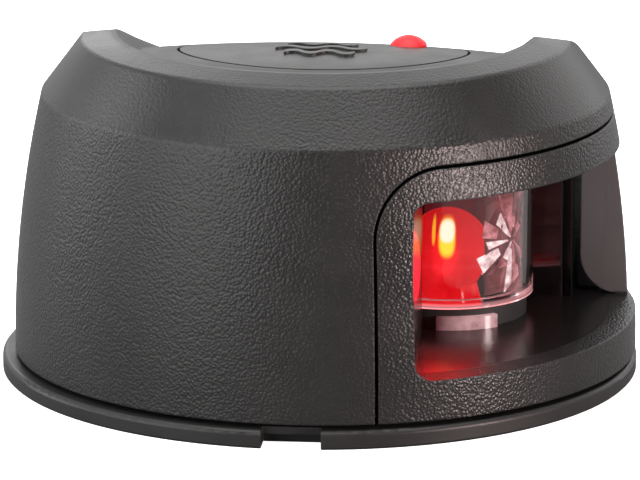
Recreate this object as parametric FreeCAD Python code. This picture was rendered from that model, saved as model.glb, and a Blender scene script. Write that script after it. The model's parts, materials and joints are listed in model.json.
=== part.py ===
import FreeCAD, Part
import math
import os

V = FreeCAD.Vector

# A low deck-mounted port sidelight. +Z is up, -Y points to the bow, +X to port.
# The origin is the centre of the base's underside, where it meets the deck.

# Base
BASE_R = 46.0            # flange radius
BASE_T = 2.6             # flange thickness
LIP_ROUND = 0.7          # rounding of the flange's upper edge
NOTCH_WIDTH = 8.3        # pry notch for a screwdriver, at the bow
NOTCH_DEPTH = 2.6
SPIGOT_R = 42.0          # ring that the cover slides over
SPIGOT_T = 1.8
SPIGOT_TOP = 7.0
SEAL_LOW, SEAL_HIGH = 4.7, 5.7       # rubber ring round the spigot
SCREW_SPACING = 62.0     # deck screws, along Y
SCREW_HOLE_R = 2.25
SCREW_BOSS_R = 5.0
SCREW_BOSS_TOP = 5.4
CABLE_AT = (-1.5, 18.5)
CABLE_R = 2.6
GROMMET_WALL = 1.6
PILLAR_R = 2.6           # pillars under the driver board
PILLAR_PILOT_R = 1.0
FRAME_SCREW_R = 1.1      # screws from below that hold the window frame
FRAME_SCREW_HEAD_R = 2.7
FRAME_BORE_R = 1.6
COUNTERBORE_R, COUNTERBORE_T = 3.0, 1.4
BUSH_WALL = 0.7
GASKET_WIDTH, GASKET_T = 3.5, 1.0
GASKET_INSET = 5.0       # from the flange's edge to the gasket groove
CATCH_WIDTH = 5.0        # slots in the spigot for the cover's snap tabs
ROOT = 0.5               # how far a boss or pillar runs into what carries it

# Outer body: a barrel-sided drum with a chamfered shoulder and a bent, dished top
BODY_X = 0.85            # the body stands a little to port of the flange's centre
BODY_FOOT_Z = 3.3
FOOT_R = 45.0
MID_R, MID_Z = 44.15, 20.5
SHOULDER_R, SHOULDER_Z = 40.8, 40.8
BAND_R, BAND_Z = 35.0, 48.5
CREST_R, CREST_Z = 30.8, 49.5
CREST_FLAT = 0.6         # width of the crest's top
EDGE_ROUND = 1.0
SKIN = 2.4

# The top bends down towards the stern
BEND_Z = 51.4            # height of the bend's unbent front part, at the middle
BEND_Y = -10.0           # where the bend starts
BEND_R = 45.0
BEND_SLOPE = math.radians(30.0)
BEND_CROWN_R = 340.0     # curve from side to side

# Dish inside the rim: a barrel surface
DISH_R = 26.3
BROW_R = 28.6            # where the flank between dish and crest bends
BROW_DROP = 0.36         # share of the flank's height lost by there
DISH_Z = 48.0            # highest point of the dish floor
DISH_Y = -10.0
DISH_BEND_R = 75.0       # curve from bow to stern
DISH_CROWN_R = 288.0     # curve from side to side

# Oval badge plate set flush in the dish
BADGE_Y = -3.0
BADGE_A = 20.6
BADGE_B = 15.5
BADGE_T = 0.8
BADGE_PAD_T = 0.5
BADGE_GROOVE = 0.4
WAVE_RISE = 0.35         # relief of the wave motif

# Tell-tale on the badge
TELLTALE_AT = (12.7, 1.6)
TELLTALE_R = 2.6
TELLTALE_RISE = 1.6
TELLTALE_STEM_R = 1.9

# Window: angles are seen from above, from the bow towards port
SEAM_GAP = 0.5
WINDOW_FROM, WINDOW_TO = 13.6, 119.0
WINDOW_TOP = 38.3
WINDOW_ROUND = 10.0
APERTURE_FROM, APERTURE_TO = 20.8, 107.0
APERTURE_LOW, APERTURE_HIGH = 8.9, 33.4
APERTURE_ROUND = 2.8
FRAME_T = 2.4
FLOOR_T = 1.8

# Lamp
LAMP = (18.7, -1.8)      # lamp axis
LENS_R = 12.3
LENS_T = 1.4
LENS_LOW = 12.0
LENS_HIGH = APERTURE_HIGH
LENS_SEAT = 2.4          # width of the rim that the lens stands on
OPTIC_LOW = 9.5          # red bulb over the emitter: foot, waist, belly and crown
OPTIC_FOOT_R = 5.1
WAIST_R, WAIST_Z = 4.2, 13.2
OPTIC_R, BELLY_Z = 6.0, 18.9
OPTIC_T = 0.9
OPTIC_TOP = 24.0
EMITTER_Z = 18.6
NECK_R = LENS_R - 0.9    # black neck under the lens
FOOT_FROM, FOOT_TO = -4.0, 39.0      # clear tab at the lens's foot, from the bow towards port
FOOT_HIGH = 1.9
ARC_MID = 56.25          # middle of the 112.5 degree arc the light must cover

POST_R = 2.9             # aluminium post behind the emitter
POST_FLAT = 1.2          # how far the post's flat lies in front of its axis
PLINTH_R = 6.4           # raised ring that carries the bulb
BOARD_LOW, BOARD_HIGH = 15.6, 21.0
BOARD_HALF = 2.4
BOARD_T = 0.8
SPREADER_TOP, SPREADER_T = 6.9, 2.2
PRISM_FROM, PRISM_TO = 24.0, 204.0   # faceted collar, from the bow towards port
PRISM_FACETS = 12
PRISM_GAP = 0.35         # between the collar and the lens wall
PRISM_T = 1.3
PRISM_PITCH = 3.2        # height of one step of the collar
PRISM_GROOVE = 0.5       # depth of the groove between two steps

# Lamp room: the walls around the lamp, seen from above
WALL_T = 1.6
ROOM_BOW_X = 16.6        # the starboard wall splays from here, far ahead of the bow
ROOM_SIDE_X = 15.8       # to here beside the lamp
ROOM_STERN = V(24.5, 11.6, 0)
ROOM_PORT = V(35.0, 7.6, 0)
ROOM_RIB_X = 36.2
ROOM_FIN_X = 37.4
FIN_Y = 9.0
FIN_T = 1.8
FIN_ROUND = 6.0
BAFFLE_T = 0.8
BAFFLE_START = 2.4       # from the corner of the stern wall
HOLLOW_SKIN = 0.25       # how much thinner than the frame the room's front wall is

# Driver board
DRIVER_SIZE = (27.0, 42.0, 1.6)
DRIVER_AT = (-20.5, -1.0)
DRIVER_Z = 9.0
SUPPLY_TERMINAL = (-12.0, 9.2)
PLUG_Z = 16.0
PLUG_LENGTH = 4.2


def edge(p, q):
    return Part.LineSegment(p, q).toShape()


def arc(p, middle, q):
    return Part.Arc(p, middle, q).toShape()


def cap(r, z, top):
    """Spherical crown over the axis, from its foot at (r, z) up to top."""
    rise = top - z
    radius = (r * r + rise * rise) / (2 * rise)
    half = math.asin(r / radius) / 2
    middle = V(radius * math.sin(half), 0, top - radius * (1 - math.cos(half)))
    return arc(V(r, 0, z), middle, V(0, 0, top))


def face(edges):
    return Part.Face(Part.Wire(edges))


def polygon(points):
    return Part.Face(Part.makePolygon(points + points[:1]))


def turned(edges, x=0.0, y=0.0):
    """Solid of revolution about the vertical through (x, y), from edges in the XZ plane."""
    return face(edges).revolve(V(0, 0, 0), V(0, 0, 1), 360).translated(V(x, y, 0))


def lathe(points, x=0.0, y=0.0):
    """Solid of revolution from (radius, height) corners joined by straight lines."""
    corners = [V(r, 0, z) for r, z in points]
    ends = corners[1:] + corners[:1]
    return turned([edge(p, q) for p, q in zip(corners, ends)], x, y)


def rod(r, low, high, x=0.0, y=0.0):
    return Part.makeCylinder(r, high - low, V(x, y, low))


def tube(r, bore, low, high, x=0.0, y=0.0):
    return rod(r, low, high, x, y).cut(rod(bore, low - 1, high + 1, x, y))


def block(x0, x1, y0, y1, z0, z1):
    return Part.makeBox(x1 - x0, y1 - y0, z1 - z0, V(x0, y0, z0))


def bow_point(angle, r, z=0.0):
    """Point at an angle from the bow towards port, measured about the body's axis."""
    a = math.radians(angle)
    return V(BODY_X + r * math.sin(a), -r * math.cos(a), z)


def turn_to(solid, angle, x=BODY_X, y=0.0):
    """Turn a solid made facing the bow so that it faces this angle towards port."""
    return solid.rotated(V(x, y, 0), V(0, 0, 1), angle)


def bend_slope(y):
    """Angle of the bent top towards the stern at y."""
    run = min(max(y - BEND_Y, 0), BEND_R * math.sin(BEND_SLOPE))
    return math.asin(run / BEND_R)


def rim_height(x, y):
    """Height of the bent top."""
    slope = bend_slope(y)
    crown = BEND_CROWN_R - math.sqrt(BEND_CROWN_R ** 2 - (x - BODY_X) ** 2)
    run = max(y - BEND_Y - BEND_R * math.sin(slope), 0)
    return BEND_Z - BEND_R * (1 - math.cos(slope)) - run * math.tan(slope) - crown / math.cos(slope)


def dish_height(x, y):
    crown = DISH_CROWN_R - math.sqrt(DISH_CROWN_R ** 2 - (x - BODY_X) ** 2)
    radius = DISH_BEND_R - crown
    return DISH_Z - DISH_BEND_R + math.sqrt(radius ** 2 - (y - DISH_Y) ** 2)


def above_bend(drop=0.0):
    """Everything over the bent top, lowered by drop: a crowned outline swept along the bend."""
    def spine(y):
        return V(BODY_X, y, rim_height(BODY_X, y) - drop)
    reach = 60.0
    end_y = BEND_Y + BEND_R * math.sin(BEND_SLOPE)
    mid_y = BEND_Y + BEND_R * math.sin(BEND_SLOPE / 2)
    path = [edge(spine(-reach), spine(BEND_Y)), arc(spine(BEND_Y), spine(mid_y), spine(end_y))]
    path.append(edge(spine(end_y), spine(reach)))
    start = spine(-reach)
    crown = V(0, 0, BEND_CROWN_R - math.sqrt(BEND_CROWN_R ** 2 - reach ** 2))
    left, right, up = start - V(reach, 0, 0) - crown, start + V(reach, 0, 0) - crown, V(0, 0, 25)
    edges = [arc(left, start, right), edge(right, right + up)]
    edges += [edge(right + up, left + up), edge(left + up, left)]
    return Part.Wire(path).makePipe(face(edges))


def dish_barrel(drop=0.0):
    """Barrel whose top is the dish floor, lowered by drop."""
    reach = 50.0
    axis_z = DISH_Z - DISH_BEND_R
    crown_z = DISH_Z - DISH_CROWN_R
    side_z = crown_z + math.sqrt(DISH_CROWN_R ** 2 - reach ** 2) - drop
    left = V(BODY_X - reach, DISH_Y, side_z)
    right = V(BODY_X + reach, DISH_Y, side_z)
    top = V(BODY_X, DISH_Y, DISH_Z - drop)
    left_axis = V(left.x, DISH_Y, axis_z)
    right_axis = V(right.x, DISH_Y, axis_z)
    edges = [arc(left, top, right), edge(right, right_axis)]
    edges += [edge(right_axis, left_axis), edge(left_axis, left)]
    return face(edges).revolve(left_axis, V(1, 0, 0), 360)


def ring_wire(r, height, steps=48):
    """Closed smooth curve of radius r about the body's axis, at height(x, y)."""
    points = []
    for i in range(steps):
        a = 2 * math.pi * i / steps
        x, y = BODY_X + r * math.cos(a), r * math.sin(a)
        points.append(V(x, y, height(x, y)))
    curve = Part.BSplineCurve()
    curve.interpolate(Points=points, PeriodicFlag=True)
    return Part.Wire(curve.toShape())


def dish_plug():
    """Plug that hollows the dish: its rounded flank runs from the dish floor out to the crest."""
    def foot(x, y):
        return dish_height(x, y) - 0.3

    def crest(x, y):
        return min(CREST_Z, rim_height(x, y)) + 0.15

    def brow(x, y):
        return crest(x, y) + BROW_DROP * (foot(x, y) - crest(x, y))

    wires = [
        ring_wire(DISH_R, lambda x, y: 10.0),
        ring_wire(DISH_R, foot),
        ring_wire(BROW_R, brow),
        ring_wire(CREST_R - CREST_FLAT, crest),
        ring_wire(CREST_R + 2.0, lambda x, y: 60.0),
    ]
    return Part.makeLoft(wires, True, True)


def drum(inset=0.0, foot=BODY_FOOT_Z):
    """The body before its top is bent and dished, shrunk by inset."""
    lower = V(FOOT_R - inset, 0, foot)
    middle = V(MID_R - inset, 0, MID_Z)
    shoulder = V(SHOULDER_R - inset, 0, SHOULDER_Z - inset * 0.4)
    band = V(BAND_R - inset * 0.6, 0, BAND_Z - inset)
    crest = V(CREST_R, 0, CREST_Z - inset)
    edges = [edge(V(0, 0, foot), lower), arc(lower, middle, shoulder), edge(shoulder, band)]
    edges += [edge(band, crest), edge(crest, V(0, 0, crest.z)), edge(V(0, 0, crest.z), V(0, 0, foot))]
    solid = turned(edges, BODY_X)
    if inset:
        return solid
    rings = [e for e in solid.Edges if len(e.Vertexes) == 1]
    creases = [e for z in (SHOULDER_Z, BAND_Z) for e in rings if abs(e.Vertexes[0].Z - z) < 0.01]
    return solid.makeFillet(EDGE_ROUND, creases)


def body_outside():
    dish = dish_plug().cut(dish_barrel())
    return drum().cut(above_bend()).cut(dish)


def body_inside():
    under_dish = rod(DISH_R + 3.0, 20, 60, BODY_X).cut(dish_barrel(SKIN))
    return drum(SKIN, BODY_FOOT_Z - 1).cut(above_bend(SKIN / math.cos(BEND_SLOPE))).cut(under_dish)


def sector(start, end, low, high, rounded, round_low=False):
    """Block between two angles from the bow, with its upright ends rounded into its top."""
    reach = 70.0
    inner = 26.0
    corners = [bow_point(start, inner), bow_point(start, reach)]
    steps = 3
    for i in range(1, steps):
        corners.append(bow_point(start + (end - start) * i / steps, reach / math.cos(math.radians(20))))
    corners += [bow_point(end, reach), bow_point(end, inner)]
    solid = polygon([V(p.x, p.y, low) for p in corners]).extrude(V(0, 0, high - low))
    directions = [bow_point(angle, 1) - V(BODY_X, 0, 0) for angle in (start, end)]
    picked = []
    for e in solid.Edges:
        a, b = e.Vertexes[0].Point, e.Vertexes[-1].Point
        level = abs(a.z - b.z) < 1e-6
        radial = any((b - a).cross(direction).Length < 1e-4 for direction in directions)
        if level and radial and (round_low or a.z > low + 1):
            picked.append(e)
    return solid.makeFillet(rounded, picked)


def lamp_point(angle, r, z=0.0):
    """Point at an angle from the bow towards port, measured about the lamp's axis."""
    a = math.radians(angle)
    return V(LAMP[0] + r * math.sin(a), LAMP[1] - r * math.cos(a), z)


def turn_lamp(solid, angle):
    return turn_to(solid, angle, LAMP[0], LAMP[1])


# Places that several parts share
SCREW_Y = (-SCREW_SPACING / 2, SCREW_SPACING / 2)
FRAME_SCREWS = [bow_point(33, 33.5), bow_point(88, 33.5), bow_point(108, 28.0)]
FLOOR_Z = APERTURE_LOW
CEILING_Z = APERTURE_HIGH
BOARD_PILLARS = [
    (DRIVER_AT[0] + sx * (DRIVER_SIZE[0] / 2 - 3.0), DRIVER_AT[1] + sy * (DRIVER_SIZE[1] / 2 - 3.0))
    for sx in (-1, 1)
    for sy in (-1, 1)
]
BOARD_TOP = DRIVER_Z + DRIVER_SIZE[2]
CATCH_ANGLES = (-35, -125, 165)
TELLTALE_SEAT_Z = dish_height(*TELLTALE_AT) - BADGE_T - BADGE_PAD_T - 0.4
PIPE_LOW = CEILING_Z + 3.2


def catch_slot(half_width, inner, outer, low, high):
    """Blocks through the spigot where the cover's snap tabs sit."""
    slot = block(BODY_X - half_width, BODY_X + half_width, -SPIGOT_R - outer, -SPIGOT_R + inner, low, high)
    return [turn_to(slot, angle) for angle in CATCH_ANGLES]


def flange():
    lip = BASE_R - LIP_ROUND
    shoulder = LIP_ROUND * (1 - math.sqrt(0.5))
    bevel = 0.3
    return turned([
        edge(V(0, 0, 0), V(BASE_R - bevel, 0, 0)),
        edge(V(BASE_R - bevel, 0, 0), V(BASE_R, 0, bevel)),
        edge(V(BASE_R, 0, bevel), V(BASE_R, 0, BASE_T - LIP_ROUND)),
        arc(V(BASE_R, 0, BASE_T - LIP_ROUND), V(BASE_R - shoulder, 0, BASE_T - shoulder), V(lip, 0, BASE_T)),
        edge(V(lip, 0, BASE_T), V(0, 0, BASE_T)),
        edge(V(0, 0, BASE_T), V(0, 0, 0)),
    ])


def base_plate():
    below, above = -1.0, 12.0
    root_z = BASE_T - ROOT
    spigot = tube(SPIGOT_R, SPIGOT_R - SPIGOT_T, root_z, SPIGOT_TOP, BODY_X)
    spigot = spigot.cut(sector(WINDOW_FROM - 4, WINDOW_TO + 4, BASE_T, 20, 1.0))
    groove = tube(SPIGOT_R + 1, SPIGOT_R - 0.9, SEAL_LOW - 0.1, SEAL_HIGH + 0.1, BODY_X)
    solid = flange().fuse(spigot.cut(groove))
    for y in SCREW_Y:
        solid = solid.fuse(rod(SCREW_BOSS_R, root_z, SCREW_BOSS_TOP, 0, y))
        solid = solid.cut(rod(SCREW_HOLE_R + BUSH_WALL + 0.1, below, above, 0, y))
    for x, y in BOARD_PILLARS:
        solid = solid.fuse(rod(PILLAR_R, root_z, DRIVER_Z, x, y))
        solid = solid.cut(rod(PILLAR_PILOT_R, 4.0, above, x, y))
    bore = CABLE_R + GROMMET_WALL
    solid = solid.fuse(tube(bore + 1.4, bore, root_z, 6.0, *CABLE_AT))
    solid = solid.cut(rod(bore, below, above, *CABLE_AT))
    for p in FRAME_SCREWS:
        solid = solid.cut(rod(FRAME_BORE_R, below, 4, p.x, p.y))
        solid = solid.cut(rod(COUNTERBORE_R, below, COUNTERBORE_T, p.x, p.y))
    for slot in catch_slot(CATCH_WIDTH / 2, 1.0, 1.0, 3.2, 8):
        solid = solid.cut(slot)
    notch_y = -BASE_R + NOTCH_DEPTH
    solid = solid.cut(block(-NOTCH_WIDTH / 2, NOTCH_WIDTH / 2, -60, notch_y, below, 5))
    solid = solid.cut(block(-NOTCH_WIDTH / 2, NOTCH_WIDTH / 2, -60, notch_y + 1.6, below, 1.5))
    outer = BASE_R - GASKET_INSET
    return solid.cut(tube(outer, outer - GASKET_WIDTH, below, GASKET_T))


def deck_gasket():
    """Foam ring let into the underside; it stands just clear of the deck plane."""
    outer = BASE_R - GASKET_INSET - 0.2
    return tube(outer, outer - GASKET_WIDTH + 0.4, 0.05, GASKET_T - 0.1)


def cover_seal():
    """Rubber ring in the spigot's groove, on the stretch that the cover wraps."""
    ring = tube(SPIGOT_R + 0.25, SPIGOT_R - 0.8, SEAL_LOW, SEAL_HIGH, BODY_X)
    ring = ring.cut(sector(WINDOW_FROM - 5, WINDOW_TO + 5, 0, 20, 1.0))
    for slot in catch_slot(CATCH_WIDTH / 2 + 0.2, 1.5, 1.0, 3, 8):
        ring = ring.cut(slot)
    return ring


def screw_bushes():
    solids = []
    for y in SCREW_Y:
        r, wall, collar = SCREW_HOLE_R, SCREW_HOLE_R + BUSH_WALL, SCREW_HOLE_R + 2.2
        low, step, top = 0.1, SCREW_BOSS_TOP + 0.1, SCREW_BOSS_TOP + 0.7
        corners = [(r, low), (wall, low), (wall, step), (collar, step), (collar, top), (r, top)]
        solids.append(lathe(corners, 0, y))
    return Part.makeCompound(solids)


def cable_grommet():
    r = CABLE_R
    return lathe([(r, 0.2), (r + 1.5, 0.2), (r + 1.5, 6.1), (r + 2.8, 6.1), (r + 2.8, 7.2),
                  (r + 1.0, 9.0), (r, 9.0)], *CABLE_AT)


def oval(grow, low, high):
    """Upright oval cylinder about the badge's centre."""
    ellipse = Part.Ellipse(V(BODY_X, BADGE_Y, low), BADGE_A + grow, BADGE_B + grow)
    return Part.Face(Part.Wire(ellipse.toShape())).extrude(V(0, 0, high - low))


def top_cover():
    recess_depth = BADGE_T + BADGE_PAD_T
    solid = body_outside().cut(body_inside())
    solid = solid.cut(sector(WINDOW_FROM, WINDOW_TO, 0, WINDOW_TOP, WINDOW_ROUND))
    solid = solid.cut(oval(BADGE_GROOVE, 30, 60).cut(dish_barrel(recess_depth)))
    solid = solid.cut(rod(TELLTALE_R + 0.05, TELLTALE_SEAT_Z, 60, *TELLTALE_AT))
    boss = rod(TELLTALE_STEM_R + 1.4, PIPE_LOW + 2.0, TELLTALE_SEAT_Z - 0.5, *TELLTALE_AT)
    solid = solid.fuse(boss).cut(rod(TELLTALE_STEM_R + 0.05, 30, 60, *TELLTALE_AT))
    for angle in CATCH_ANGLES:
        tab = block(BODY_X - 2.0, BODY_X + 2.0, -FOOT_R + 1.2, -SPIGOT_R + 0.7, 3.6, 9.0)
        tab = tab.cut(block(BODY_X - 3.0, BODY_X + 3.0, -FOOT_R + 3.0, 0, 6.2, 9.5))
        solid = solid.fuse(turn_to(tab, angle))
    return solid


def wave(y, half_length):
    """One raised wave bar of the badge's plain sea motif."""
    points = []
    for i in range(13):
        x = -half_length + 2 * half_length * i / 12
        points.append(V(BODY_X + x, y + 0.9 * math.sin(2 * math.pi * x / half_length), 40))
    lower, upper = Part.BSplineCurve(), Part.BSplineCurve()
    lower.interpolate(points)
    upper.interpolate([p + V(0, 1.5, 0) for p in points])
    ends = [edge(points[-1], points[-1] + V(0, 1.5, 0)), edge(points[0] + V(0, 1.5, 0), points[0])]
    return face([lower.toShape(), ends[0], upper.toShape(), ends[1]]).extrude(V(0, 0, 20))


def badge_plate():
    plate = oval(0, 30, 60).common(dish_barrel(0)).cut(dish_barrel(BADGE_T))
    for row in (-1, 0, 1):
        bar = wave(BADGE_Y - 4.5 + row * 3.4, 6.5 - abs(row) * 1.5).common(dish_barrel(-WAVE_RISE))
        plate = plate.fuse(bar.cut(dish_barrel(0.2)))
    return plate.cut(rod(TELLTALE_R + 0.05, 30, 60, *TELLTALE_AT))


def badge_pad():
    pad = oval(-2.0, 30, 60).common(dish_barrel(BADGE_T)).cut(dish_barrel(BADGE_T + BADGE_PAD_T))
    return pad.cut(rod(TELLTALE_R + 0.6, 30, 60, *TELLTALE_AT))


def telltale_lens():
    z = dish_height(*TELLTALE_AT)
    r, stem = TELLTALE_R, TELLTALE_STEM_R
    low = z - SKIN - 0.6
    seat = TELLTALE_SEAT_Z
    brow = z + 0.35
    curve = cap(r, brow, z + TELLTALE_RISE)
    edges = [edge(V(0, 0, low), V(stem, 0, low)), edge(V(stem, 0, low), V(stem, 0, seat))]
    edges += [edge(V(stem, 0, seat), V(r, 0, seat)), edge(V(r, 0, seat), V(r, 0, brow)), curve]
    edges += [edge(V(0, 0, z + TELLTALE_RISE), V(0, 0, low))]
    return turned(edges, *TELLTALE_AT)


def telltale_pipe():
    """Light pipe that carries the lamp's own light up to the tell-tale."""
    top = dish_height(*TELLTALE_AT) - SKIN - 0.6
    shaft = rod(TELLTALE_STEM_R - 0.05, PIPE_LOW, top, *TELLTALE_AT)
    return shaft.fuse(rod(TELLTALE_STEM_R + 0.9, PIPE_LOW, PIPE_LOW + 1.0, *TELLTALE_AT))


def lamp_room(grow, low, high):
    """The space the lamp looks out of, made wider by grow; it is open towards the bow and port."""
    reach = 60
    plan = [
        V(ROOM_BOW_X, -reach, 0), V(ROOM_SIDE_X, -12.7, 0), V(ROOM_SIDE_X, 6.0, 0), ROOM_STERN, ROOM_PORT,
        V(ROOM_RIB_X, ROOM_PORT.y - 1.0, 0), V(ROOM_RIB_X, FIN_Y + 3.0, 0),
        V(reach, FIN_Y + 3.0, 0), V(reach, -reach, 0),
    ]
    room = polygon([V(p.x, p.y, low) for p in plan])
    if grow:
        room = room.makeOffset2D(grow, 2)
    return room.extrude(V(0, 0, high - low))


def stern_fin():
    """Upright plate across the stern end of the window, its foot rounded."""
    fin = block(ROOM_FIN_X, 60, FIN_Y, FIN_Y + FIN_T, FLOOR_Z, CEILING_Z + ROOT)
    corner = []
    for e in fin.Edges:
        middle = e.CenterOfMass
        if abs(middle.x - ROOM_FIN_X) < 0.01 and abs(middle.z - FLOOR_Z) < 0.01:
            corner.append(e)
    return fin.makeFillet(FIN_ROUND, corner).common(drum(ROOT))


def window_frame():
    """Bands, post, floor, ceiling, inner walls and stern fin, moulded as one piece."""
    gap = math.degrees(SEAM_GAP / FOOT_R)
    top, rounded = WINDOW_TOP - SEAM_GAP, WINDOW_ROUND - SEAM_GAP
    outline = sector(WINDOW_FROM + gap, WINDOW_TO - gap, BODY_FOOT_Z, top, rounded)
    skin = drum().common(outline).cut(drum(FRAME_T, BODY_FOOT_Z - 1))
    low, high = FLOOR_Z - FLOOR_T, CEILING_Z + FLOOR_T
    case = lamp_room(WALL_T, low, high).fuse(rod(LENS_R + WALL_T, low, high, *LAMP)).common(drum(ROOT))
    hollow = lamp_room(0, FLOOR_Z, CEILING_Z).fuse(rod(LENS_R + 0.1, FLOOR_Z, CEILING_Z, *LAMP))
    aperture = sector(APERTURE_FROM, APERTURE_TO, APERTURE_LOW, APERTURE_HIGH, APERTURE_ROUND, True)
    opening = aperture.cut(drum(FRAME_T, 0))
    solid = skin.fuse(case).cut(hollow.common(drum(FRAME_T - HOLLOW_SKIN, 0))).cut(opening)
    solid = solid.fuse(stern_fin())
    solid = solid.fuse(tube(PLINTH_R, POST_R + 0.2, low, OPTIC_LOW, *LAMP))
    solid = solid.cut(rod(POST_R + 0.2, 0, OPTIC_LOW + 1, *LAMP))
    solid = solid.cut(tube(LENS_R - 0.2, LENS_R - 1.6, CEILING_Z - 1, CEILING_Z + 1.2, *LAMP))
    solid = solid.cut(rod(TELLTALE_STEM_R, CEILING_Z - 1, 50, *TELLTALE_AT))
    for p in FRAME_SCREWS:
        solid = solid.fuse(rod(COUNTERBORE_R + 0.2, BASE_T, low + ROOT, p.x, p.y))
        solid = solid.cut(rod(FRAME_SCREW_R, 0, low, p.x, p.y))
    return solid


def outer_lens():
    """Clear drum, open below; its rim turns inwards over the seal."""
    wall = tube(LENS_R, LENS_R - LENS_T, LENS_LOW, LENS_HIGH - 0.05, *LAMP)
    rim = tube(LENS_R, LENS_R - LENS_SEAT, LENS_LOW, LENS_LOW + 1.0, *LAMP)
    return wall.fuse(rim)


def lens_foot():
    """Clear tab at the front that keys the lens to the floor."""
    ring = tube(LENS_R, NECK_R, FLOOR_Z, FLOOR_Z + FOOT_HIGH, *LAMP)
    corners = [lamp_point(FOOT_FROM, 0), lamp_point(FOOT_FROM, 40), lamp_point(FOOT_TO, 40)]
    return ring.common(polygon(corners).extrude(V(0, 0, 20)))


def lens_seal():
    """Black ring between the floor and the lens: the dark neck."""
    return tube(NECK_R, LENS_R - LENS_SEAT, FLOOR_Z, LENS_LOW, *LAMP)


def lens_top_seal():
    return Part.makeTorus(LENS_R - 0.9, 0.55, V(LAMP[0], LAMP[1], CEILING_Z + 0.55))


def red_optic():
    """Red bulb: a flared foot, a waist, a round belly and a crown, hollow for the emitter."""
    def outline(inset):
        low = OPTIC_LOW
        foot = V(OPTIC_FOOT_R - inset, 0, low)
        waist = V(WAIST_R - inset, 0, WAIST_Z)
        belly = V(OPTIC_R - inset, 0, BELLY_Z)
        side = V(OPTIC_R - inset - 0.5, 0, (WAIST_Z + BELLY_Z) / 2 - 0.1)
        top = OPTIC_TOP - inset
        edges = [edge(V(0, 0, low), foot), edge(foot, waist), arc(waist, side, belly)]
        return edges + [cap(belly.x, BELLY_Z, top), edge(V(0, 0, top), V(0, 0, low))]
    return turned(outline(0), *LAMP).cut(turned(outline(OPTIC_T), *LAMP))


def facet_prism():
    """Clear collar inside the lens: upright facets, stepped by grooves, that throw light to port and aft."""
    low, high = LENS_LOW + 1.4, CEILING_Z - 0.4
    outer = LENS_R - LENS_T - PRISM_GAP
    turn = (PRISM_TO - PRISM_FROM) / PRISM_FACETS
    angles = [PRISM_FROM + turn * i for i in range(PRISM_FACETS + 1)]
    plan = [lamp_point(angle, outer, low) for angle in angles]
    plan += [lamp_point(angle, outer - PRISM_T, low) for angle in reversed(angles)]
    solid = polygon(plan).extrude(V(0, 0, high - low))
    half = PRISM_GROOVE / 2
    for i in range(1, int((high - low) / PRISM_PITCH) + 1):
        z = low + PRISM_PITCH * i
        groove = lathe([(outer - PRISM_GROOVE, z), (outer + 1, z - half), (outer + 1, z + half)], *LAMP)
        solid = solid.cut(groove)
    return solid


def led_post():
    """Aluminium post with a flat for the emitter's board, standing on the heat spreader."""
    post = rod(POST_R, SPREADER_TOP, BOARD_HIGH, *LAMP)
    x, y = LAMP
    flat = block(x - 10, x + 10, y - 20, y - POST_FLAT, BOARD_LOW - 0.4, 40)
    return post.cut(turn_lamp(flat, ARC_MID))


def heat_spreader():
    x, y = LAMP
    plate = block(x - 10.0, x + 11.0, y - 9.0, y + 6.0, SPREADER_TOP - SPREADER_T, SPREADER_TOP)
    upright = [e for e in plate.Edges if abs(e.Vertexes[0].Z - e.Vertexes[-1].Z) > 1]
    return plate.makeFillet(2.0, upright)


def led_board():
    face_y = LAMP[1] - POST_FLAT
    x = LAMP[0]
    board = block(x - BOARD_HALF, x + BOARD_HALF, face_y - BOARD_T, face_y, BOARD_LOW, BOARD_HIGH)
    return turn_lamp(board, ARC_MID)


def led_emitter():
    x, face_y, z = LAMP[0], LAMP[1] - POST_FLAT - BOARD_T, EMITTER_Z
    half, height, dome_r = 1.6, 0.6, 1.25
    package = block(x - half, x + half, face_y - height, face_y, z - half, z + half)
    dome = Part.makeSphere(dome_r, V(x, face_y - 0.55, z))
    dome = dome.common(block(x - 2, x + 2, face_y - 3, face_y - 0.3, z - 2, z + 2))
    return turn_lamp(package.fuse(dome), ARC_MID)


def stern_baffle():
    """Gloss black panel on the slanted stern wall."""
    along = ROOM_PORT - ROOM_STERN
    along.normalize()
    out = V(along.y, -along.x, 0)
    start = ROOM_STERN + along * BAFFLE_START
    plan = [start, ROOM_PORT, ROOM_PORT + out * BAFFLE_T, start + out * BAFFLE_T]
    plate = polygon([V(p.x, p.y, FLOOR_Z) for p in plan]).extrude(V(0, 0, CEILING_Z - FLOOR_Z))
    return plate.cut(rod(LENS_R + 0.1, 0, 50, *LAMP))


def frame_screws():
    solids = []
    for p in FRAME_SCREWS:
        head = rod(FRAME_SCREW_HEAD_R, 0.2, COUNTERBORE_T, p.x, p.y)
        solids.append(head.fuse(rod(FRAME_SCREW_R, 1.0, FLOOR_Z - FLOOR_T - 0.6, p.x, p.y)))
    return Part.makeCompound(solids)


def driver_board():
    w, d = DRIVER_SIZE[:2]
    x, y = DRIVER_AT
    board = block(x - w / 2, x + w / 2, y - d / 2, y + d / 2, DRIVER_Z, BOARD_TOP)
    upright = [e for e in board.Edges if abs(e.Vertexes[0].Z - e.Vertexes[-1].Z) > 1]
    board = board.makeFillet(3.0, upright)
    for px, py in BOARD_PILLARS:
        board = board.cut(rod(1.3, 0, 20, px, py))
    return board


def driver_screws():
    solids = []
    for x, y in BOARD_PILLARS:
        head = lathe([(0, BOARD_TOP), (2.3, BOARD_TOP), (2.3, BOARD_TOP + 0.7), (1.5, BOARD_TOP + 1.5),
                      (0, BOARD_TOP + 1.5)], x, y)
        solids.append(head.fuse(rod(1.0, 4.5, BOARD_TOP + 0.2, x, y)))
    return Part.makeCompound(solids)


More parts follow.
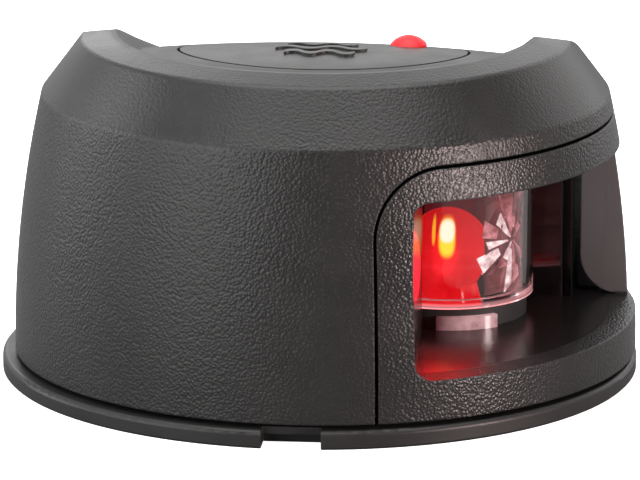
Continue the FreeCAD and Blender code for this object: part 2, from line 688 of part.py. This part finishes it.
def driver_inductor():
    x, y = DRIVER_AT[0] - 3.0, DRIVER_AT[1] + 5.0
    rim_r, core_r, height = 4.4, 3.2, 6.0
    corners = [(0, 0), (rim_r, 0), (rim_r, 1.2), (core_r, 1.8)]
    corners += [(core_r, height - 1.6), (rim_r, height - 1.0), (rim_r, height), (0, height)]
    spool = lathe(corners, x, y)
    return spool.translated(V(0, 0, BOARD_TOP))


def driver_capacitors():
    solids = []
    for i in range(2):
        x, y = DRIVER_AT[0] - 6.0 + 9.5 * i, DRIVER_AT[1] - 9.0
        can = rod(3.15, BOARD_TOP, BOARD_TOP + 8.0, x, y)
        top = [e for e in can.Edges if len(e.Vertexes) == 1 and e.Vertexes[0].Z > BOARD_TOP + 1]
        solids.append(can.makeFillet(0.6, top))
    return Part.makeCompound(solids)


def driver_chip():
    x, y = DRIVER_AT[0] + 6.2, DRIVER_AT[1] - 2.0
    body = block(x - 2.5, x + 2.5, y - 2.0, y + 2.0, BOARD_TOP + 0.1, BOARD_TOP + 1.6)
    legs = []
    for side in (-1, 1):
        for i in range(4):
            lx = x - 1.9 + 1.27 * i
            y0, y1 = sorted((y + side * 1.8, y + side * 3.0))
            legs.append(block(lx - 0.2, lx + 0.2, y0, y1, BOARD_TOP, BOARD_TOP + 0.35))
    return body.multiFuse(legs)


def supply_terminal():
    x, y = SUPPLY_TERMINAL
    body = block(x - 3.5, x + 3.5, y - 5.0, y + 5.0, BOARD_TOP, BOARD_TOP + 6.5)
    for i in (-1, 1):
        way = y + i * 2.5
        body = body.cut(block(x + 1.0, x + 4.0, way - 1.4, way + 1.4, BOARD_TOP + 0.8, BOARD_TOP + 3.6))
        body = body.cut(rod(1.5, BOARD_TOP + 5.2, BOARD_TOP + 8, x - 1.0, way))
    return body


def lamp_plug():
    """Two-way plug on the side of the lamp housing."""
    x = LAMP[0] - LENS_R - WALL_T
    y, half_width, half_height = LAMP[1], 3.4, 2.2
    low, high = PLUG_Z - half_height, PLUG_Z + half_height
    body = block(x - PLUG_LENGTH, x + 0.4, y - half_width, y + half_width, low, high)
    return body.cut(rod(LENS_R + WALL_T, 0, 50, *LAMP))


def lamp_leads():
    """Two short wires from the driver board's edge up to the lamp plug."""
    solids = []
    x0 = DRIVER_AT[0] + DRIVER_SIZE[0] / 2 - 3.0
    x1 = LAMP[0] - LENS_R - WALL_T - PLUG_LENGTH
    for i in (-1, 1):
        y = LAMP[1] + i * 1.6
        bend = 2.0
        low = V(x0, y, BOARD_TOP)
        up = V(x0, y, PLUG_Z - bend)
        turn = V(x0 + bend * (1 - math.sqrt(0.5)), y, PLUG_Z - bend * (1 - math.sqrt(0.5)))
        level = V(x0 + bend, y, PLUG_Z)
        route = Part.Wire([edge(low, up), arc(up, turn, level), edge(level, V(x1, y, PLUG_Z))])
        profile = Part.Wire(Part.makeCircle(0.65, low, V(0, 0, 1)))
        solids.append(route.makePipeShell([profile], True, False))
    return Part.makeCompound(solids)


PARTS = {
    "base_plate": base_plate,
    "deck_gasket": deck_gasket,
    "cover_seal": cover_seal,
    "screw_bushes": screw_bushes,
    "cable_grommet": cable_grommet,
    "top_cover": top_cover,
    "badge_plate": badge_plate,
    "badge_pad": badge_pad,
    "telltale_lens": telltale_lens,
    "telltale_pipe": telltale_pipe,
    "window_frame": window_frame,
    "outer_lens": outer_lens,
    "lens_foot": lens_foot,
    "lens_seal": lens_seal,
    "lens_top_seal": lens_top_seal,
    "red_optic": red_optic,
    "facet_prism": facet_prism,
    "led_post": led_post,
    "heat_spreader": heat_spreader,
    "led_board": led_board,
    "led_emitter": led_emitter,
    "stern_baffle": stern_baffle,
    "frame_screws": frame_screws,
    "driver_board": driver_board,
    "driver_screws": driver_screws,
    "driver_inductor": driver_inductor,
    "driver_capacitors": driver_capacitors,
    "driver_chip": driver_chip,
    "supply_terminal": supply_terminal,
    "lamp_plug": lamp_plug,
    "lamp_leads": lamp_leads,
}

os.makedirs("parts", exist_ok=True)
for name, make in PARTS.items():
    make().exportStep("parts/" + name + ".step")
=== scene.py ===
import bmesh
import bpy
import json
import math
import random
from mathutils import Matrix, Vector


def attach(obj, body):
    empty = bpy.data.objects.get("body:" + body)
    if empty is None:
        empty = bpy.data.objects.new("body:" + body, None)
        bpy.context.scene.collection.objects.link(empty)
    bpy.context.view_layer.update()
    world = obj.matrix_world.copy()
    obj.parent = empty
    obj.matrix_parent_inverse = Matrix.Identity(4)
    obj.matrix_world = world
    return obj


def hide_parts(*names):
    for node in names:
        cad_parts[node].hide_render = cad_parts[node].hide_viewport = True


MM = 0.001

# Camera: the photograph's viewing angle, for a picture of 640 x 480
AZIMUTH = math.radians(5.0)
ELEVATION = math.radians(14.0)
DISTANCE = 750 * MM
FOCAL_PX = 6.909 * 750
PICTURE_WIDTH = 640
SENSOR = 36.0
TARGET_SIDE = 0.05 * MM
TARGET_UP = 18.276 * MM

# Surfaces
NOISE_ROUGHNESS = 0.55
GRAIN = (0.42, 0.085)            # size and depth of the leather grain, in mm
MOTTLED = (0.3, 0.7)             # band of a noise that carries from one colour to the other
LIT_BAND = (0.35, 0.65)          # the same for what is lit
ACRYLIC_IOR = 1.49

# Places on the part, in the row frame
BODY_X = 0.85 * MM               # axis of the round body
SMOOTH_R = 30.6 * MM             # inside this radius the top is satin, outside it is grained
LAMP = Vector((18.7, -1.8, 0)) * MM
COLLAR_R = 10.5 * MM             # clear faceted collar inside the lens
COLLAR_LOW, COLLAR_HIGH = 13.4 * MM, 33.0 * MM
COLLAR_STEPS = 6
COLLAR_FACETS = 12
COLLAR_T = 0.3 * MM
FACET_LIFT, FACET_T = 0.15 * MM, 0.2 * MM
COLLAR_DEPTH = 0.5 * MM          # how far the facets' inner corners stand in
COLLAR_FROM, COLLAR_TO = 33.0, 204.0 # from the bow towards port
FAN_ANGLE, FAN_Z = 58.0, 21.0 * MM   # hub of the facets on the port side
FAN_HALF_ANGLE = 34.0
FAN_HALF_HEIGHT = 8.0 * MM
FAN_FACETS = 17
HOT_SPOT = LAMP + Vector((0.2, 0, 20.7)) * MM
HOT_HALF = (1.25 * MM, 2.75 * MM)        # half width and half height
CORE_RISE = Vector((0, 0, 0.95 * MM))    # the white core stands above the hot spot's middle
CORE_HALF = (1.05 * MM, 1.45 * MM)
# painted reflection: an orange streak of the emitter, mirrored in the lens, painted beside the hot spot
EMITTER_REFLECTION = LAMP + Vector((-1.7, 0, 21.6)) * MM
EMITTER_REFLECTION_HALF = (0.28 * MM, 1.9 * MM)
CROWN = (21.5 * MM, 24.0 * MM)           # the bulb's glow fades over these heights
INSIDE_R = 41.0 * MM             # nearer the body's axis than this, the frame is smooth
FIN_CORNER = Vector((37.2, 8.8)) * MM
FIN_LOW, FIN_HIGH = 9.4 * MM, 33.4 * MM
SHOULDER_Z = 41.0 * MM

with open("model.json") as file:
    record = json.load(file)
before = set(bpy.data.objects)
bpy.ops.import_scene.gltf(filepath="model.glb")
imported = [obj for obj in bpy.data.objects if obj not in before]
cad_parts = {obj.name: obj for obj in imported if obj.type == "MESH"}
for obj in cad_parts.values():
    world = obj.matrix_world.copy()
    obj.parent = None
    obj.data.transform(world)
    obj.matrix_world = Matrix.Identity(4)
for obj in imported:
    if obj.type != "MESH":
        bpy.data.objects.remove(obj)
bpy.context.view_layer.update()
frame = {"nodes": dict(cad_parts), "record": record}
scene = bpy.context.scene
scene.view_settings.view_transform = "Standard"


def node(tree, kind, inputs=None, **settings):
    """Adds a shader node; an input may be a value or another node's output socket."""
    made = tree.nodes.new(kind)
    for name, value in settings.items():
        setattr(made, name, value)
    for name, value in (inputs or {}).items():
        if isinstance(value, bpy.types.NodeSocket):
            tree.links.new(value, made.inputs[name])
        else:
            made.inputs[name].default_value = value
    return made


def rgba(colour):
    return (*colour, 1.0)


def new_material(name):
    made = bpy.data.materials.new(name)
    made.use_nodes = True
    tree = made.node_tree
    tree.nodes.clear()
    shader = node(tree, "ShaderNodeBsdfPrincipled")
    out = node(tree, "ShaderNodeOutputMaterial", {"Surface": shader.outputs["BSDF"]})
    out.location = (300, 0)
    place = node(tree, "ShaderNodeTexCoord").outputs["Object"]
    return made, tree, shader, place


def noise(tree, place, size_mm, detail=3.0):
    made = node(tree, "ShaderNodeTexNoise", {
        "Vector": place, "Scale": 1 / (size_mm * MM), "Detail": detail,
        "Roughness": NOISE_ROUGHNESS,
    })
    return made.outputs["Fac"]


def ramp(tree, value, low, high, start=0.0, end=1.0):
    """Value carried from start..end to low..high, clamped."""
    made = node(tree, "ShaderNodeMapRange", {
        "Value": value, "From Min": start, "From Max": end, "To Min": low, "To Max": high,
    })
    return made.outputs["Result"]


def mixed(tree, factor, a, b):
    made = node(tree, "ShaderNodeMix", data_type="RGBA")
    sockets = {"Factor": made.inputs[0], "A": made.inputs[6], "B": made.inputs[7]}
    for key, value in (("Factor", factor), ("A", a), ("B", b)):
        if isinstance(value, bpy.types.NodeSocket):
            tree.links.new(value, sockets[key])
        elif key == "Factor":
            sockets[key].default_value = value
        else:
            sockets[key].default_value = rgba(value)
    return made.outputs[2]


def math_node(tree, operation, a, b=0.0):
    made = node(tree, "ShaderNodeMath", operation=operation)
    for socket, value in zip(made.inputs, (a, b)):
        if isinstance(value, bpy.types.NodeSocket):
            tree.links.new(value, socket)
        else:
            socket.default_value = value
    return made.outputs[0]


def axis_value(tree, place, axis):
    return node(tree, "ShaderNodeSeparateXYZ", {0: place}).outputs[axis]


def radius_from(tree, place, x, y):
    """Distance from the upright line through (x, y)."""
    shifted = node(tree, "ShaderNodeVectorMath", {0: place, 1: (x, y, 0)}, operation="SUBTRACT")
    flat = node(tree, "ShaderNodeVectorMath", {0: shifted.outputs[0], 1: (1, 1, 0)}, operation="MULTIPLY")
    return node(tree, "ShaderNodeVectorMath", {0: flat.outputs[0]}, operation="LENGTH").outputs["Value"]


def bumped(tree, height, depth, round_edge_mm=0.0):
    inputs = {"Height": height, "Distance": depth * MM, "Strength": 1.0}
    if round_edge_mm:
        bevel = node(tree, "ShaderNodeBevel", {"Radius": round_edge_mm * MM}, samples=4)
        inputs["Normal"] = bevel.outputs["Normal"]
    return node(tree, "ShaderNodeBump", inputs).outputs["Normal"]


def pebbles(tree, place, size_mm):
    """Height of a moulded leather grain: rounded pebbles with creases between them."""
    wobble = noise(tree, place, size_mm * 2.2, 2.0)
    reach = (size_mm * MM * 0.4,) * 3
    spread = node(tree, "ShaderNodeVectorMath", {0: place, 1: reach}, operation="MULTIPLY_ADD")
    tree.links.new(wobble, spread.inputs[0])
    tree.links.new(place, spread.inputs[2])
    cells = node(tree, "ShaderNodeTexVoronoi", {
        "Vector": spread.outputs[0], "Scale": 1 / (size_mm * MM), "Smoothness": 0.35, "Randomness": 1.0,
    }, feature="SMOOTH_F1")
    return math_node(tree, "SUBTRACT", 1.0, cells.outputs["Distance"])


def grained_plastic(name, colour, roughness, grain, zones):
    """Black moulded plastic with a leather grain; zones gives the grain, colour and gloss of each place."""
    grain_mm, depth_mm = grain
    made, tree, shader, place = new_material(name)
    mottle = noise(tree, place, 9.0, 4.0)
    lighter = tuple(c * 1.35 for c in colour)
    base = mixed(tree, ramp(tree, mottle, 0.0, 1.0, *MOTTLED), colour, lighter)
    fine = noise(tree, place, grain_mm * 0.35, 2.0)
    height = math_node(tree, "ADD", pebbles(tree, place, grain_mm), math_node(tree, "MULTIPLY", fine, 0.25))
    share, base, gloss = zones(tree, place, base)
    height = math_node(tree, "MULTIPLY", height, share)
    rough = ramp(tree, mottle, roughness - 0.04, roughness + 0.04, *MOTTLED)
    rough = math_node(tree, "MULTIPLY", rough, gloss)
    tree.links.new(base, shader.inputs["Base Color"])
    tree.links.new(rough, shader.inputs["Roughness"])
    tree.links.new(bumped(tree, height, depth_mm, 0.35), shader.inputs["Normal"])
    return made


def cover_grain(tree, place, base):
    """Full grain on the side, weaker on the sloping shoulder, satin inside the crest."""
    radius = radius_from(tree, place, BODY_X, 0.0)
    outside = ramp(tree, radius, 0.1, 1.0, SMOOTH_R - 0.3 * MM, SMOOTH_R + 0.9 * MM)
    below = ramp(tree, axis_value(tree, place, "Z"), 1.0, 0.45, SHOULDER_Z - MM, SHOULDER_Z + MM)
    gloss = ramp(tree, outside, 1.2, 1.0, 0.1, 1.0)
    return math_node(tree, "MULTIPLY", outside, below), base, gloss


def frame_grain(tree, place, base):
    """Full grain on the outside; the lamp room is smooth and glossier, and the fin smoother, with a painted
    sheen that lightens its colour.
    """
    radius = radius_from(tree, place, BODY_X, 0.0)
    outside = ramp(tree, radius, 0.3, 1.0, INSIDE_R - 0.2 * MM, INSIDE_R + 0.2 * MM)
    gloss = ramp(tree, radius, 0.62, 1.0, INSIDE_R - 0.2 * MM, INSIDE_R + 0.2 * MM)
    soft = 0.3 * MM
    fin = 1.0
    limits = (("X", FIN_CORNER.x, 1), ("Y", FIN_CORNER.y, 1), ("Z", FIN_LOW, 1), ("Z", FIN_HIGH, -1))
    for axis, edge, inside in limits:
        reached = ramp(tree, axis_value(tree, place, axis), *(0.0, 1.0)[::inside], edge - soft, edge)
        fin = math_node(tree, "MULTIPLY", fin, reached)
    share = math_node(tree, "MULTIPLY", outside, ramp(tree, fin, 1.0, 0.15))
    # painted sheen: the fin is coloured a lighter grey, for the light it catches
    return share, mixed(tree, fin, base, (0.110, 0.104, 0.107)), gloss


def satin_plastic(name, colour, roughness, speck_mm=0.25, depth_mm=0.01, metallic=0.0, coat=0.0):
    """Plain moulded plastic, metal or rubber with a fine texture and slight unevenness."""
    made, tree, shader, place = new_material(name)
    mottle = noise(tree, place, 6.0, 4.0)
    lighter = tuple(min(c * 1.25, 1.0) for c in colour)
    base = mixed(tree, ramp(tree, mottle, 0.0, 1.0, *MOTTLED), colour, lighter)
    tree.links.new(base, shader.inputs["Base Color"])
    rough = ramp(tree, mottle, max(roughness - 0.05, 0.02), roughness + 0.05, *MOTTLED)
    tree.links.new(rough, shader.inputs["Roughness"])
    shader.inputs["Metallic"].default_value = metallic
    shader.inputs["Coat Weight"].default_value = coat
    speck = noise(tree, place, speck_mm, 2.0)
    tree.links.new(bumped(tree, speck, depth_mm, 0.2), shader.inputs["Normal"])
    return made


def clear_plastic(name, tint, roughness, ripple_mm=6.0, depth_mm=0.02, rim=None):
    """Clear moulded acrylic, faintly uneven; between two heights of the rim an emitted pink band is a
    painted highlight of the lamp's light.
    """
    made, tree, shader, place = new_material(name)
    ripple = noise(tree, place, ripple_mm, 2.0)
    faint = tuple(c * 0.96 for c in tint)
    tree.links.new(mixed(tree, ripple, tint, faint), shader.inputs["Base Color"])
    shader.inputs["Transmission Weight"].default_value = 1.0
    shader.inputs["IOR"].default_value = ACRYLIC_IOR
    tree.links.new(ramp(tree, ripple, roughness, roughness + 0.02), shader.inputs["Roughness"])
    tree.links.new(bumped(tree, ripple, depth_mm), shader.inputs["Normal"])
    if rim:
        low, high = rim
        z = axis_value(tree, place, "Z")
        # painted highlight: the rim glows pink between the two heights
        painted_rim_highlight = ramp(tree, z, 1.0, 0.0, low, high)
        glow = mixed(tree, painted_rim_highlight, (0.0, 0.0, 0.0), (0.42, 0.19, 0.20))
        tree.links.new(glow, shader.inputs["Emission Color"])
        shader.inputs["Emission Strength"].default_value = 1.0
    return made


def slab_spot(tree, place, centre, half_x, half_z):
    """0 at centre, 1 on a rounded upright rectangle with these half sides, seen along Y."""
    roundness = 2.6
    total = 0.0
    for axis, middle, half in (("X", centre.x, half_x), ("Z", centre.z, half_z)):
        offset = math_node(tree, "SUBTRACT", axis_value(tree, place, axis), middle)
        share = math_node(tree, "ABSOLUTE", math_node(tree, "DIVIDE", offset, half))
        total = math_node(tree, "ADD", total, math_node(tree, "POWER", share, roundness))
    return total


def lit_optic(name):
    """Red bulb, lit from inside, with the emitter showing through as a hot spot and a painted reflection of
    it as a narrow streak beside.
    """
    made, tree, shader, place = new_material(name)
    shader.inputs["Base Color"].default_value = rgba((0.45, 0.004, 0.006))
    shader.inputs["Roughness"].default_value = 0.14
    cloudy = noise(tree, place, 4.0, 2.0)
    glow = mixed(tree, ramp(tree, cloudy, 0.0, 1.0, *LIT_BAND), (0.70, 0.008, 0.014), (0.58, 0.004, 0.008))
    crown = ramp(tree, axis_value(tree, place, "Z"), 0.0, 0.55, *CROWN)
    glow = mixed(tree, crown, glow, (0.45, 0.002, 0.004))
    hot = slab_spot(tree, place, HOT_SPOT, *HOT_HALF)
    core = slab_spot(tree, place, HOT_SPOT + CORE_RISE, *CORE_HALF)
    emitter_reflection = slab_spot(tree, place, EMITTER_REFLECTION, *EMITTER_REFLECTION_HALF)
    colour = mixed(tree, ramp(tree, hot, 1.0, 0.0, 0.65, 1.25), glow, (1.0, 0.22, 0.0))
    colour = mixed(tree, ramp(tree, hot, 1.0, 0.0, 0.35, 0.95), colour, (1.0, 0.85, 0.03))
    colour = mixed(tree, ramp(tree, core, 1.0, 0.0, 0.45, 1.3), colour, (1.15, 1.1, 0.85))
    # painted reflection of the emitter, a narrow orange streak
    colour = mixed(tree, ramp(tree, emitter_reflection, 1.0, 0.0, 0.3, 1.2), colour, (1.0, 0.42, 0.02))
    tree.links.new(colour, shader.inputs["Emission Color"])
    shader.inputs["Emission Strength"].default_value = 1.0
    return made


def painted_glow_clear(name, dark, bright, size_mm, stretch=(1, 1, 1), side=None):
    """Clear acrylic with painted light: an emitted glow, varying between two colours, stands in for the
    lamp's light carried in it.
    """
    made, tree, shader, place = new_material(name)
    scaled = node(tree, "ShaderNodeVectorMath", {0: place, 1: stretch}, operation="MULTIPLY").outputs[0]
    streaks = ramp(tree, noise(tree, scaled, size_mm, 3.0), 0.0, 1.0, *LIT_BAND)
    if side:
        # painted light: the glow grows across X, from none to full, between the side's two places
        across = ramp(tree, axis_value(tree, place, "X"), 0.0, 1.0, *side)
        streaks = math_node(tree, "MULTIPLY", across, math_node(tree, "ADD", 0.45, streaks))
    glow = mixed(tree, streaks, dark, bright)
    tree.links.new(glow, shader.inputs["Emission Color"])
    tree.links.new(mixed(tree, 0.6, glow, (0.02, 0.0, 0.0)), shader.inputs["Base Color"])
    shader.inputs["Emission Strength"].default_value = 1.0
    shader.inputs["Roughness"].default_value = 0.08
    return made


def plain_glow(name, colour, strength):
    made, tree, shader, place = new_material(name)
    cloudy = noise(tree, place, 1.0, 2.0)
    darker = tuple(c * 0.85 for c in colour)
    tree.links.new(mixed(tree, cloudy, colour, darker), shader.inputs["Emission Color"])
    tree.links.new(mixed(tree, cloudy, colour, darker), shader.inputs["Base Color"])
    shader.inputs["Emission Strength"].default_value = strength
    return made


BLACK = (0.0125, 0.0122, 0.0118)
FRAME_BLACK = (0.0115, 0.0112, 0.0110)
# painted highlight: heights of the emitted pink band on the clear lens's rim
PAINTED_RIM_HIGHLIGHT = (12.15 * MM, 12.45 * MM)
FINISHES = {
    "cover_plastic": grained_plastic("cover_plastic", BLACK, 0.38, GRAIN, cover_grain),
    "frame_plastic": grained_plastic("frame_plastic", FRAME_BLACK, 0.34, GRAIN, frame_grain),
    "badge_plastic": satin_plastic("badge_plastic", (0.016, 0.0158, 0.0152), 0.42, 0.3, 0.012),
    "base_plastic": satin_plastic("base_plastic", (0.013, 0.0128, 0.0124), 0.45, 0.3, 0.015),
    "gloss_black": satin_plastic("gloss_black", (0.012, 0.008, 0.009), 0.14, 0.8, 0.002, coat=0.5),
    "clear_acrylic": clear_plastic("clear_acrylic", (1.0, 0.93, 0.93), 0.0, rim=PAINTED_RIM_HIGHLIGHT),
    "red_acrylic": lit_optic("red_acrylic"),
    "black_rubber": satin_plastic("black_rubber", (0.010, 0.010, 0.010), 0.62, 0.4, 0.02),
    "black_foam": satin_plastic("black_foam", (0.02, 0.02, 0.02), 0.9, 0.5, 0.12),
    "stainless": satin_plastic("stainless", (0.55, 0.54, 0.52), 0.28, 0.6, 0.01, metallic=1.0),
    "aluminium": satin_plastic("aluminium", (0.60, 0.61, 0.62), 0.36, 0.3, 0.012, metallic=1.0),
    "white_board": satin_plastic("white_board", (0.62, 0.62, 0.60), 0.4),
    "green_board": satin_plastic("green_board", (0.010, 0.085, 0.032), 0.3, 0.8, 0.006),
    "emitter": plain_glow("emitter", (1.0, 0.72, 0.35), 6.0),
    "component_black": satin_plastic("component_black", (0.018, 0.018, 0.020), 0.38),
    "terminal_plastic": satin_plastic("terminal_plastic", (0.015, 0.11, 0.05), 0.4),
    "wire_jacket": satin_plastic("wire_jacket", (0.30, 0.012, 0.010), 0.4),
    "adhesive": satin_plastic("adhesive", (0.35, 0.33, 0.28), 0.5),
}
OWN_FINISHES = {
    "telltale_lens": plain_glow("lit_telltale", (0.55, 0.006, 0.012), 0.8),
    "telltale_pipe": clear_plastic("pipe_acrylic", (1.0, 0.95, 0.95), 0.03),
    # painted light: the clear lens foot glows pinkish white, growing towards port
    "lens_foot": painted_glow_clear("painted_glow_foot", (0.06, 0.02, 0.022), (0.42, 0.26, 0.27), 3.0,
                           side=(18.0 * MM, 23.0 * MM)),
}


def dress(obj, material):
    obj.data.materials.clear()
    obj.data.materials.append(material)


for part in frame["record"]["subparts"]:
    cad_name = part["node"]
    dress(frame["nodes"][cad_name], OWN_FINISHES.get(cad_name) or FINISHES[part["material_slot"]])


def lamp_place(angle, r, z):
    """Place at an angle from the bow towards port round the lamp's axis."""
    a = math.radians(angle)
    return LAMP + Vector((r * math.sin(a), -r * math.cos(a), z))


def add_piece(name, mesh, material, body):
    obj = bpy.data.objects.new(name, mesh)
    scene.collection.objects.link(obj)
    mesh.materials.append(material)
    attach(obj, body)
    return obj


def shell_mesh(name, outlines, r, thickness):
    """Thin closed plates from (angle, height) outlines on a cylinder round the lamp."""
    bm = bmesh.new()
    for outline in outlines:
        outer = [bm.verts.new(lamp_place(angle, r, z)) for angle, z in outline]
        inner = [bm.verts.new(lamp_place(angle, r - thickness, z)) for angle, z in outline]
        bm.faces.new(outer)
        bm.faces.new(list(reversed(inner)))
        for i, vert in enumerate(outer):
            j = (i + 1) % len(outer)
            bm.faces.new([outer[j], vert, inner[i], inner[j]])
    bmesh.ops.recalc_face_normals(bm, faces=bm.faces)
    mesh = bpy.data.meshes.new(name)
    bm.to_mesh(mesh)
    bm.free()
    return mesh


def collar_painted_glow():
    # painted light: the collar glows dark red to pink, growing towards port, for the lamp's light seen
    # through it
    side = (LAMP.x + 5.5 * MM, LAMP.x + 11.0 * MM)
    dark, bright = (0.055, 0.003, 0.006), (0.30, 0.085, 0.09)
    return painted_glow_clear("collar_painted_glow", dark, bright, 1.2, (0.12, 0.12, 1.0), side)


def faceted_collar():
    """The collar: tall facets, stepped like the moulded part and broken into triangles."""
    bm = bmesh.new()
    grid = []
    for i in range(COLLAR_FACETS + 1):
        angle = COLLAR_FROM + (COLLAR_TO - COLLAR_FROM) * i / COLLAR_FACETS
        line = []
        for j in range(COLLAR_STEPS + 1):
            z = COLLAR_LOW + (COLLAR_HIGH - COLLAR_LOW) * j / COLLAR_STEPS
            r = COLLAR_R - (COLLAR_DEPTH if (i + j) % 2 else 0.0)
            line.append(bm.verts.new(lamp_place(angle, r, z)))
        grid.append(line)
    for i in range(COLLAR_FACETS):
        for j in range(COLLAR_STEPS):
            a, b, c, d = grid[i][j], grid[i + 1][j], grid[i + 1][j + 1], grid[i][j + 1]
            halves = ((a, b, c), (a, c, d)) if (i + j) % 2 else ((a, b, d), (b, c, d))
            for half in halves:
                bm.faces.new(half)
    mesh = bpy.data.meshes.new("prism_collar")
    bm.to_mesh(mesh)
    bm.free()
    obj = add_piece("prism_collar", mesh, collar_painted_glow(), "base")
    thick = obj.modifiers.new("thickness", "SOLIDIFY")
    thick.thickness = COLLAR_T
    thick.offset = 0.0
    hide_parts("facet_prism")


def fan_corner(turn, share):
    """(angle, height) of a place in the fan, from its turn round the hub and its share of the reach."""
    angle = FAN_ANGLE + FAN_HALF_ANGLE * share * math.cos(turn)
    return angle, FAN_Z + FAN_HALF_HEIGHT * share * math.sin(turn)


def fan_outlines(rng):
    """Facets of uneven width that spread from the fan's hub; every other one is cut across."""
    side_gap, cross_gap = 0.05, 0.03
    edges = [2 * math.pi * (i + rng.uniform(-0.3, 0.3)) / FAN_FACETS for i in range(FAN_FACETS)]
    edges.append(edges[0] + 2 * math.pi)
    outlines = []
    for i in range(FAN_FACETS):
        first, last = edges[i] + side_gap, edges[i + 1] - side_gap
        near = rng.uniform(0.04, 0.22)
        far = rng.uniform(0.6, 1.0)
        cut = rng.uniform(0.40, 0.55)
        stretches = ((near, cut - cross_gap), (cut + cross_gap, far)) if i % 2 else ((near, far),)
        for inner, outer in stretches:
            corners = [(first, inner), (first, outer), (last, outer * rng.uniform(0.75, 1.0)), (last, inner)]
            outlines.append([fan_corner(turn, share) for turn, share in corners])
    return outlines


def port_facets():
    """Facets on the collar's port side, where the lamp's light leaves it; their white, pink and dim emitted
    glows are painted glints.
    """
    rng = random.Random(5)
    outlines = fan_outlines(rng)
    rng.shuffle(outlines)
    # painted glints: each share of the facets glows in its own pair of colours
    painted_glints = {
        "painted_white_glints": (outlines[0::5], (0.40, 0.22, 0.24), (1.0, 0.88, 0.88)),
        "painted_pink_glints": (outlines[1::5] + outlines[2::5], (0.20, 0.04, 0.05), (0.58, 0.24, 0.26)),
        "painted_dim_glints": (outlines[3::5] + outlines[4::5], (0.04, 0.004, 0.007), (0.18, 0.05, 0.06)),
    }
    for name, (shapes, dark, bright) in painted_glints.items():
        mesh = shell_mesh(name, shapes, COLLAR_R + FACET_LIFT, FACET_T)
        add_piece(name, mesh, painted_glow_clear(name + "_glow", dark, bright, 1.4), "base")


faceted_collar()
port_facets()


def softbox(name, azimuth, elevation, width, height, power, colour=(1, 1, 1)):
    """Area light aimed at the part; azimuth 0 is at the bow and 90 to port, in degrees."""
    a, e = math.radians(azimuth), math.radians(elevation)
    back = Vector((math.sin(a) * math.cos(e), -math.cos(a) * math.cos(e), math.sin(e)))
    data = bpy.data.lights.new(name, "AREA")
    data.shape = "RECTANGLE"
    data.size = width
    data.size_y = height
    data.energy = power
    data.color = colour
    light = bpy.data.objects.new(name, data)
    light.location = AIM + back * SOFTBOX_DISTANCE
    light.rotation_mode = "QUATERNION"
    light.rotation_quaternion = (-back).to_track_quat("-Z", "Y")
    scene.collection.objects.link(light)


AIM = Vector((0, 0, 25 * MM))
SOFTBOX_DISTANCE = 0.9
SOFTBOXES = [
    # name, azimuth, elevation, width, height, watts
    ("overhead", 0, 88, 1.0, 1.0, 11.0),
    ("front_left", -43, 17, 0.8, 0.8, 6.5),
    ("left", -100, 15, 0.4, 0.8, 4.0),
    ("left_back", -145, 20, 0.7, 0.8, 1.5),
    ("back", 180, 25, 0.8, 0.6, 2.5),
    ("right_back", 135, 15, 0.7, 0.8, 2.5),
    ("right", 60, 8, 0.10, 0.14, 7.0, (1.0, 0.80, 0.78)),
]
LAMP_GLOW_AT = LAMP + Vector((0.0, -14.5, 19.0)) * MM
LAMP_GLOW_WATTS = 0.004
LAMP_GLOW_R = 5.5 * MM
WORLD_LIGHT = 0.01


def lamp_glow():
    """The navigation lamp's own red light on its floor and on the window's edges."""
    data = bpy.data.lights.new("lamp_glow", "POINT")
    data.energy = LAMP_GLOW_WATTS
    data.color = (1.0, 0.012, 0.025)
    data.shadow_soft_size = LAMP_GLOW_R
    obj = bpy.data.objects.new("lamp_glow", data)
    obj.location = LAMP_GLOW_AT
    obj.visible_camera = False
    scene.collection.objects.link(obj)


def studio():
    world = bpy.data.worlds.new("studio")
    world.use_nodes = True
    tree = world.node_tree
    background = tree.nodes["Background"]
    seen = node(tree, "ShaderNodeLightPath").outputs["Is Camera Ray"]
    tree.links.new(ramp(tree, seen, WORLD_LIGHT, 1.0), background.inputs["Strength"])
    background.inputs["Color"].default_value = (1.0, 1.0, 1.0, 1.0)
    scene.world = world
    for light in SOFTBOXES:
        softbox(*light)
    lamp_glow()

    mesh = bpy.data.meshes.new("floor")
    reach = 3.0
    mesh.from_pydata([(-reach, -reach, 0), (reach, -reach, 0), (reach, reach, 0), (-reach, reach, 0)],
                     [], [(0, 1, 2, 3)])
    floor = bpy.data.objects.new("floor", mesh)
    scene.collection.objects.link(floor)
    made, tree, shader, place = new_material("floor_paper")
    paper = noise(tree, place, 2.0, 3.0)
    seen = node(tree, "ShaderNodeLightPath").outputs["Is Camera Ray"]
    pale = mixed(tree, paper, (0.88, 0.88, 0.88), (0.92, 0.92, 0.92))
    tree.links.new(mixed(tree, seen, (0.25, 0.25, 0.25), pale), shader.inputs["Base Color"])
    shader.inputs["Roughness"].default_value = 0.8
    shader.inputs["Emission Color"].default_value = (1, 1, 1, 1)
    tree.links.new(ramp(tree, seen, 0.0, 1.0), shader.inputs["Emission Strength"])
    mesh.materials.append(made)


def camera():
    back = Vector((math.sin(AZIMUTH) * math.cos(ELEVATION), -math.cos(AZIMUTH) * math.cos(ELEVATION),
                   math.sin(ELEVATION)))
    right = Vector((math.cos(AZIMUTH), math.sin(AZIMUTH), 0))
    data = bpy.data.cameras.new("camera")
    data.sensor_width = SENSOR
    data.lens = FOCAL_PX * SENSOR / PICTURE_WIDTH
    data.clip_start = 0.05
    data.clip_end = 10.0
    made = bpy.data.objects.new("camera", data)
    made.location = right * TARGET_SIDE + Vector((0, 0, TARGET_UP)) + back * DISTANCE
    made.rotation_mode = "QUATERNION"
    made.rotation_quaternion = (-back).to_track_quat("-Z", "Y")
    scene.collection.objects.link(made)
    scene.camera = made


studio()
camera()
